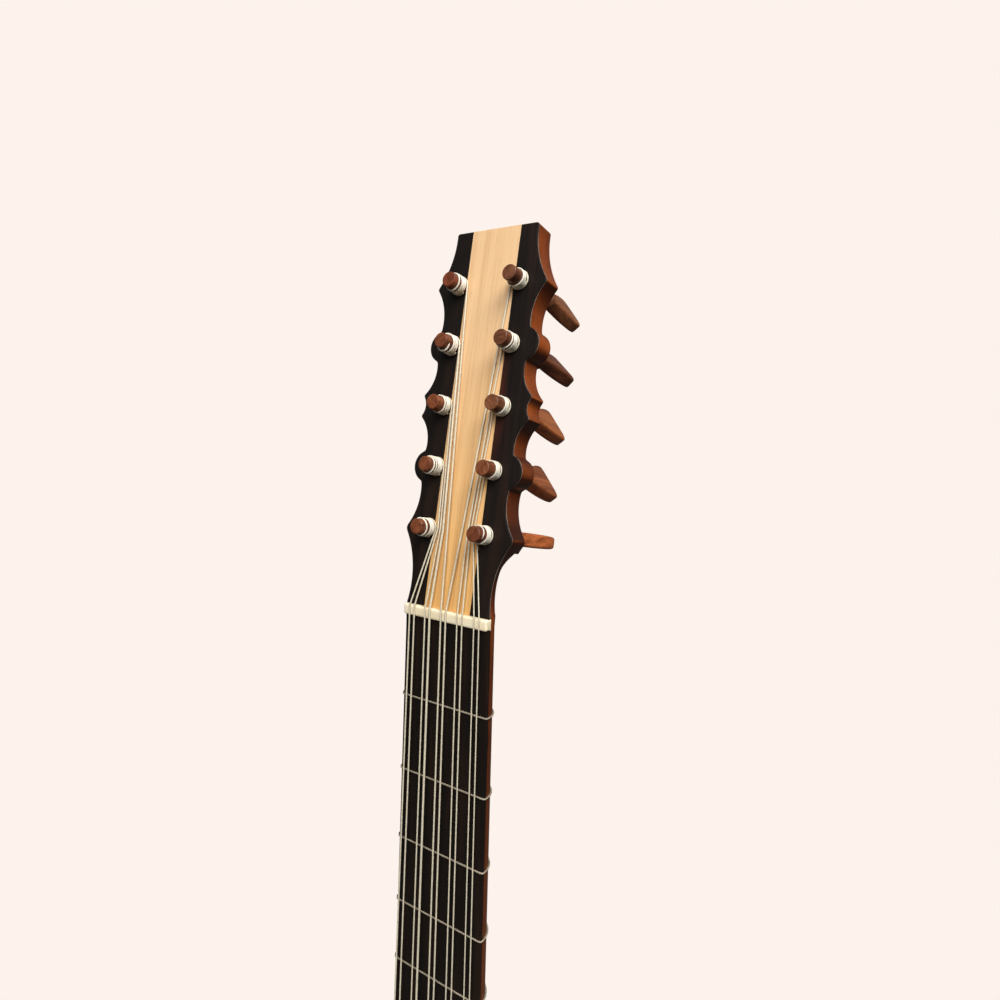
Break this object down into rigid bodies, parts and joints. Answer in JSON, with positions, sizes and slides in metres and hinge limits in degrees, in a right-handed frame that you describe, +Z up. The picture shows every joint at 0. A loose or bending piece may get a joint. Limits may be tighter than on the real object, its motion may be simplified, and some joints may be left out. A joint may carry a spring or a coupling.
{
  "type": "baroque guitar",
  "caption": "Small flat-backed guitar with paired gut strings, tied frets, a scalloped through-pegged head with a pale centre stripe, and a pierced rose.",
  "frame": {"origin": "centre of the nut's lower edge in the plane of the fingerboard, where the hanger's yoke holds the neck", "axes": "+Z up the neck to the head, -Y out of the soundboard and strings, +X to the treble side"},
  "size_m": [0.25, 0.0954, 0.9526],
  "materials": {
    "ebony": "satin, close grained",
    "pale_stripe": "satin, straight grain",
    "pale_line": "satin",
    "mahogany": "glossy varnish",
    "rosewood": "satin, open grain",
    "bridge_wood": "satin",
    "bone": "polished bone",
    "string_gut": "smooth gut",
    "fret_gut": "smooth gut",
    "spruce": "satin varnish",
    "parchment": "matte parchment",
    "block_wood": "raw wood"
  },
  "bodies": {
    "guitar": {"head_core": "mahogany", "neck": "mahogany", "back": "mahogany", "rib_left_upper": "mahogany", "rib_left_lower": "mahogany", "rib_right_upper": "mahogany", "rib_right_lower": "mahogany", "head_line": "pale_line", "face_left": "ebony", "face_right": "ebony", "face_centre": "pale_stripe", "fingerboard": "ebony", "nut": "bone", "soundboard": "spruce", "rose": "parchment", "bridge": "bridge_wood", "neck_block": "block_wood", "tail_block": "block_wood", "top_bar_1": "block_wood", "top_bar_2": "block_wood", "back_bar_1": "block_wood", "string_1": "string_gut", "string_2": "string_gut", "string_3": "string_gut", "string_4": "string_gut", "string_5": "string_gut", "string_6": "string_gut", "string_7": "string_gut", "string_8": "string_gut", "string_9": "string_gut", "string_10": "string_gut", "fret_1": "fret_gut", "fret_2": "fret_gut", "fret_3": "fret_gut", "fret_4": "fret_gut", "fret_5": "fret_gut", "fret_6": "fret_gut", "fret_7": "fret_gut", "fret_8": "fret_gut", "fret_9": "fret_gut"},
    "left_peg_1": {"peg_left_1": "rosewood", "winding_left_1": "string_gut"},
    "left_peg_2": {"peg_left_2": "rosewood", "winding_left_2": "string_gut"},
    "left_peg_3": {"peg_left_3": "rosewood", "winding_left_3": "string_gut"},
    "left_peg_4": {"peg_left_4": "rosewood", "winding_left_4": "string_gut"},
    "left_peg_5": {"peg_left_5": "rosewood", "winding_left_5": "string_gut"},
    "right_peg_1": {"peg_right_1": "rosewood", "winding_right_1": "string_gut"},
    "right_peg_2": {"peg_right_2": "rosewood", "winding_right_2": "string_gut"},
    "right_peg_3": {"peg_right_3": "rosewood", "winding_right_3": "string_gut"},
    "right_peg_4": {"peg_right_4": "rosewood", "winding_right_4": "string_gut"},
    "right_peg_5": {"peg_right_5": "rosewood", "winding_right_5": "string_gut"}
  },
  "joints": [
    {"name": "left_peg_1_turn", "type": "hinge", "parent": "guitar", "child": "left_peg_1", "pos_m": [-0.0156, 0.00612, 0.04007], "axis": [0, -0.9851, 0.1719], "range_deg": [-1260, 90]},
    {"name": "left_peg_2_turn", "type": "hinge", "parent": "guitar", "child": "left_peg_2", "pos_m": [-0.01578, 0.011, 0.06805], "axis": [0, -0.9851, 0.1719], "range_deg": [-1260, 90]},
    {"name": "left_peg_3_turn", "type": "hinge", "parent": "guitar", "child": "left_peg_3", "pos_m": [-0.01595, 0.01589, 0.09602], "axis": [0, -0.9851, 0.1719], "range_deg": [-1260, 90]},
    {"name": "left_peg_4_turn", "type": "hinge", "parent": "guitar", "child": "left_peg_4", "pos_m": [-0.01613, 0.02077, 0.124], "axis": [0, -0.9851, 0.1719], "range_deg": [-1260, 90]},
    {"name": "left_peg_5_turn", "type": "hinge", "parent": "guitar", "child": "left_peg_5", "pos_m": [-0.0163, 0.02565, 0.15198], "axis": [0, -0.9851, 0.1719], "range_deg": [-1260, 90]},
    {"name": "right_peg_1_turn", "type": "hinge", "parent": "guitar", "child": "right_peg_1", "pos_m": [0.0156, 0.00612, 0.04007], "axis": [0, 0.9851, -0.1719], "range_deg": [-1260, 90]},
    {"name": "right_peg_2_turn", "type": "hinge", "parent": "guitar", "child": "right_peg_2", "pos_m": [0.01578, 0.011, 0.06805], "axis": [0, 0.9851, -0.1719], "range_deg": [-1260, 90]},
    {"name": "right_peg_3_turn", "type": "hinge", "parent": "guitar", "child": "right_peg_3", "pos_m": [0.01595, 0.01589, 0.09602], "axis": [0, 0.9851, -0.1719], "range_deg": [-1260, 90]},
    {"name": "right_peg_4_turn", "type": "hinge", "parent": "guitar", "child": "right_peg_4", "pos_m": [0.01613, 0.02077, 0.124], "axis": [0, 0.9851, -0.1719], "range_deg": [-1260, 90]},
    {"name": "right_peg_5_turn", "type": "hinge", "parent": "guitar", "child": "right_peg_5", "pos_m": [0.0163, 0.02565, 0.15198], "axis": [0, 0.9851, -0.1719], "range_deg": [-1260, 90]}
  ]
}
